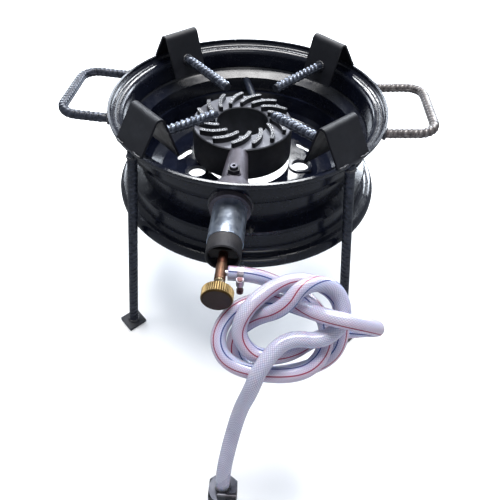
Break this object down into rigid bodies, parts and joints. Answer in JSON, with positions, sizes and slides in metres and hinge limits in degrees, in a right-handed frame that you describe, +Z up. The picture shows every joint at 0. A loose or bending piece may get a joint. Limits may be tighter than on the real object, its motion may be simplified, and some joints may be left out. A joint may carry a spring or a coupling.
{
  "type": "stock pot range",
  "caption": "Free-standing gas burner stove in a steel wheel rim on leaning legs, with bent pot rests, handles, a swirl burner, a valve and a coiled hose.",
  "frame": {"origin": "on the floor, on the wheel rim's axis, midway between the four feet", "axes": "+Z up; +X along the line of the two handles, to the right as seen from the valve; -Y towards the gas inlet and its valve"},
  "size_m": [0.5174, 0.6275, 0.3571],
  "materials": {
    "black_paint": "glossy black paint over steel",
    "black_bar": "black paint over ribbed bar",
    "burner_iron": "rough cast, heat-proof dark grey",
    "feed_iron": "dark cast iron",
    "zinc": "hot-dip zinc, bright",
    "copper": "browned copper",
    "brass": "bright brass",
    "knob_face": "dark brown, matt",
    "hose_pvc": "clear braided PVC with a red and a blue stripe",
    "clip_steel": "dull zinc-plated steel",
    "nut_steel": "dark steel"
  },
  "bodies": {
    "stove": {"burner_body": "burner_iron", "burner_rear_bar": "black_bar", "burner_top": "burner_iron", "end_collar": "feed_iron", "foot_front_left": "black_paint", "foot_front_right": "black_paint", "foot_rear_left": "black_paint", "foot_rear_right": "black_paint", "galvanised_pipe": "zinc", "gas_jet": "brass", "gland_nut": "brass", "handle_left": "black_bar", "handle_right": "black_bar", "hose_barb": "brass", "hose_coil": "hose_pvc", "hose_lead": "hose_pvc", "hose_tail": "hose_pvc", "injector_bracket": "feed_iron", "injector_tube": "copper", "inlet_clip": "clip_steel", "inlet_clip_screw": "clip_steel", "leg_front_left": "black_bar", "leg_front_right": "black_bar", "leg_rear_left": "black_bar", "leg_rear_right": "black_bar", "lock_nut": "feed_iron", "lock_screw": "feed_iron", "mixing_tube": "feed_iron", "outlet_clip": "clip_steel", "outlet_clip_screw": "clip_steel", "prong_front_left": "black_bar", "prong_front_right": "black_bar", "prong_rear_left": "black_bar", "prong_rear_right": "black_bar", "rest_front_left": "black_paint", "rest_front_right": "black_paint", "rest_rear_left": "black_paint", "rest_rear_right": "black_paint", "rim_barrel": "black_paint", "tail_nipple": "nut_steel", "valve_body": "copper", "wheel_disc": "black_paint"},
    "valve": {"valve_knob": "brass", "knob_cap": "knob_face", "valve_spindle": "brass"},
    "swivel": {"swivel_nut": "nut_steel"}
  },
  "joints": [
    {"name": "valve_turn", "type": "hinge", "parent": "stove", "child": "valve", "pos_m": [-0.008, -0.3, 0.265], "axis": [0, -1, 0], "range_deg": [0, 720]},
    {"name": "nut_spin", "type": "hinge", "parent": "stove", "child": "swivel", "pos_m": [0.006, -0.414, 0.03], "axis": [0, 0, 1], "continuous": true}
  ]
}
